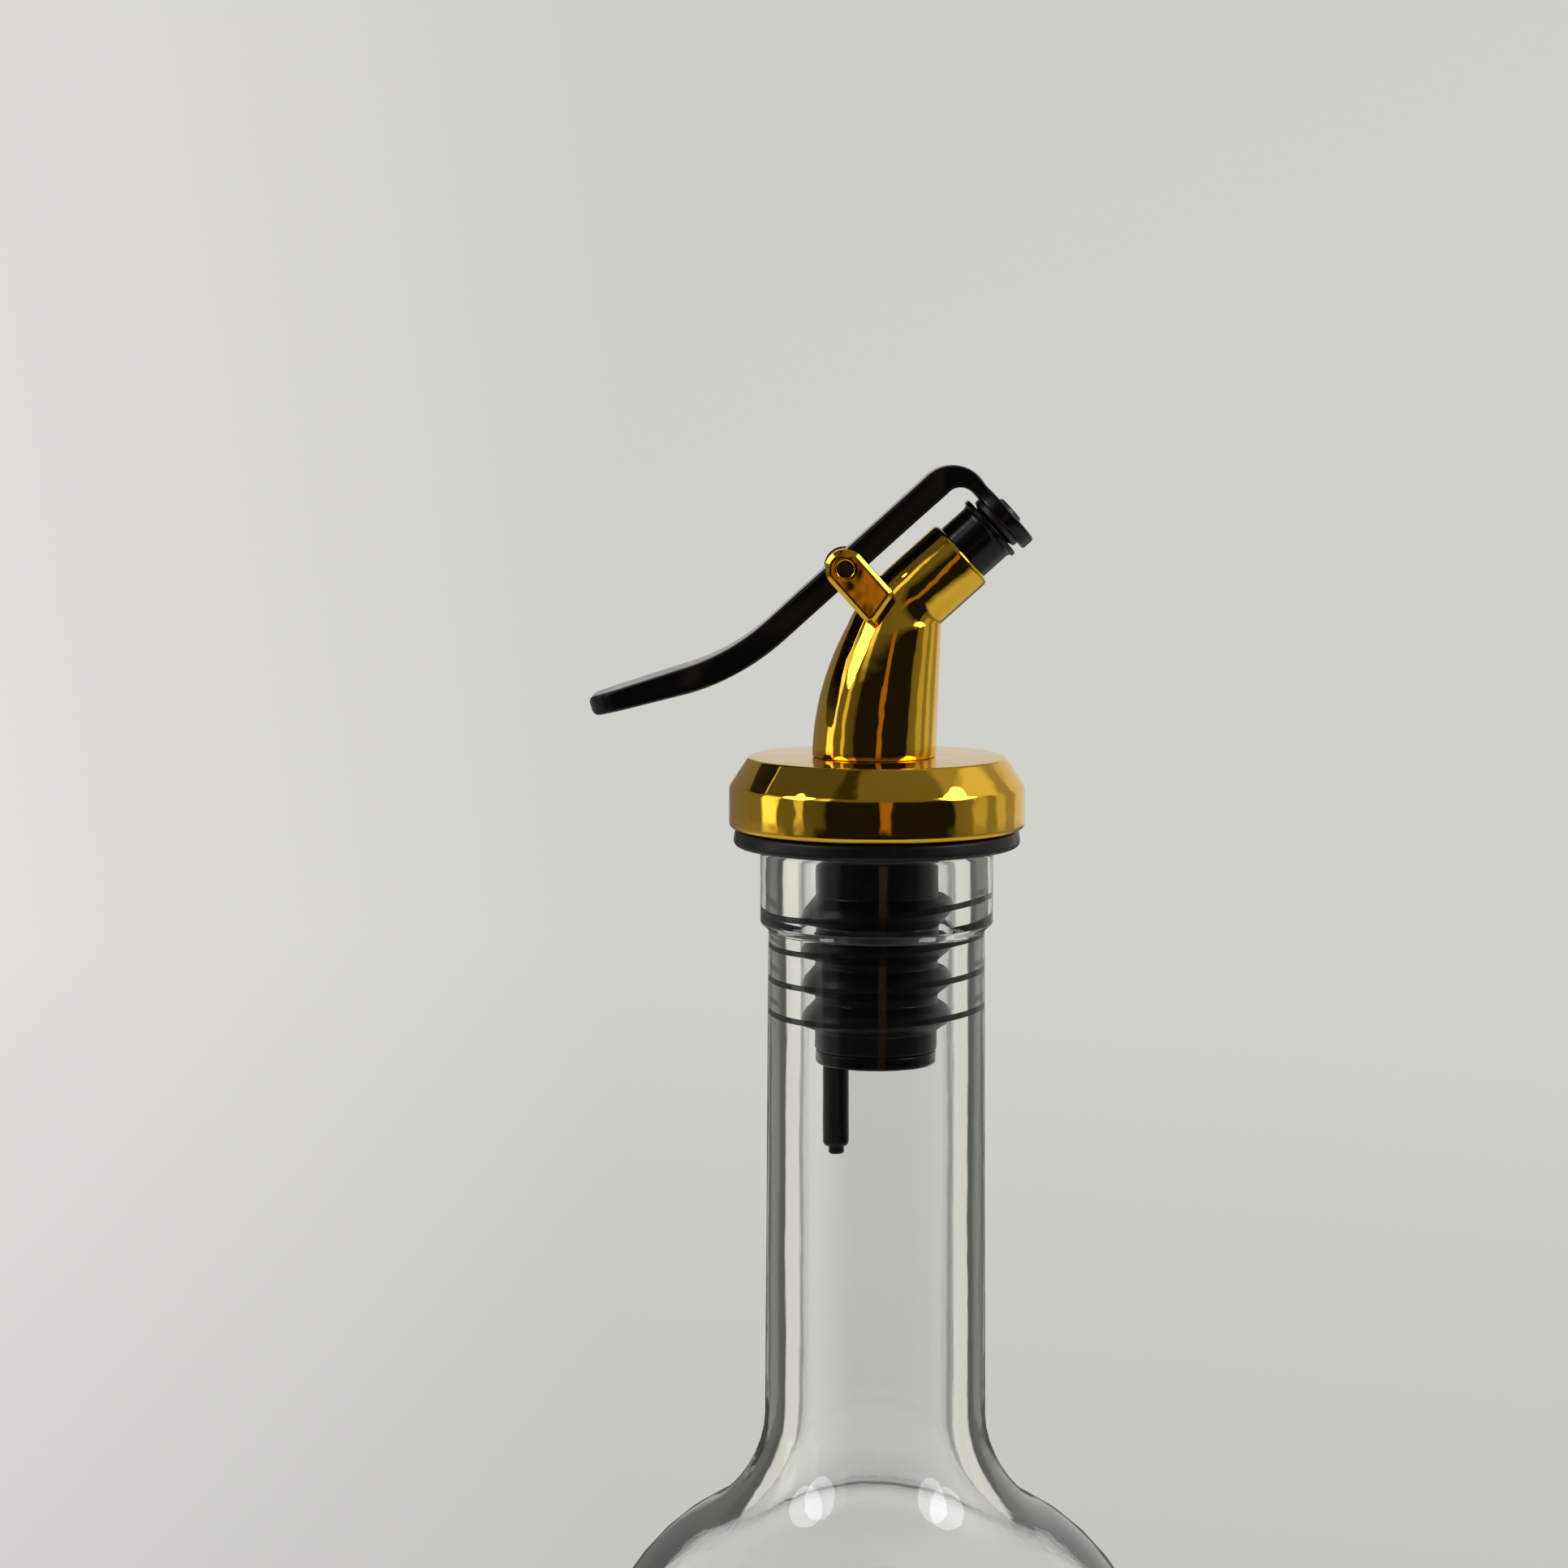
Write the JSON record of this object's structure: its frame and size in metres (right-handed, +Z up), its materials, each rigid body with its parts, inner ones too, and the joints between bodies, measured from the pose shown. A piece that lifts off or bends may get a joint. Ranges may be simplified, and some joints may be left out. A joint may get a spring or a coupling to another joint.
{
  "type": "oil bottle with lever pourer",
  "caption": "Clear glass kitchen oil bottle with a push-in finned stopper, gold collar and elbow spout, and a sprung thumb lever that lifts a lid off the nozzle.",
  "frame": {"origin": "centre of the base on the table, on the bottle's axis", "axes": "+Z up along the bottle's axis, +X the way the spout points, Y across the symmetry plane"},
  "size_m": [0.072, 0.072, 0.3557],
  "materials": {
    "clear_glass": "clear, faintly green",
    "black_rubber": "satin",
    "black_plastic": "gloss moulding",
    "gold_plate": "bright gold plating on moulded plastic",
    "black_silicone": "satin",
    "pin_steel": "drawn wire",
    "spring_steel": "blackened wire"
  },
  "bodies": {
    "bottle": {"glass_bottle": "clear_glass"},
    "stopper": {"stopper_sleeve": "black_rubber"},
    "head": {"core_stem": "black_plastic", "vent_tube": "black_plastic", "collar_disc": "gold_plate", "spout_shell": "gold_plate", "nozzle_insert": "black_plastic", "hinge_pin": "pin_steel"},
    "lever": {"lever_arm": "black_plastic", "lid_seal": "black_silicone", "return_spring": "spring_steel"}
  },
  "joints": [
    {"name": "pourer_pull", "type": "slide", "parent": "bottle", "child": "stopper", "axis": [0, 0, 1], "range_m": [0, 0.06]},
    {"name": "spout_swivel", "type": "hinge", "parent": "stopper", "child": "head", "pos_m": [0, 0, 0.31], "axis": [0, 0, 1], "continuous": true},
    {"name": "lever_press", "type": "hinge", "parent": "head", "child": "lever", "pos_m": [-0.004, 0, 0.3433], "axis": [0, -1, 0], "range_deg": [0, 25], "stiffness_Nm_per_rad": 0.02, "springref_deg": -51.57, "deforming": ["return_spring"]}
  ]
}
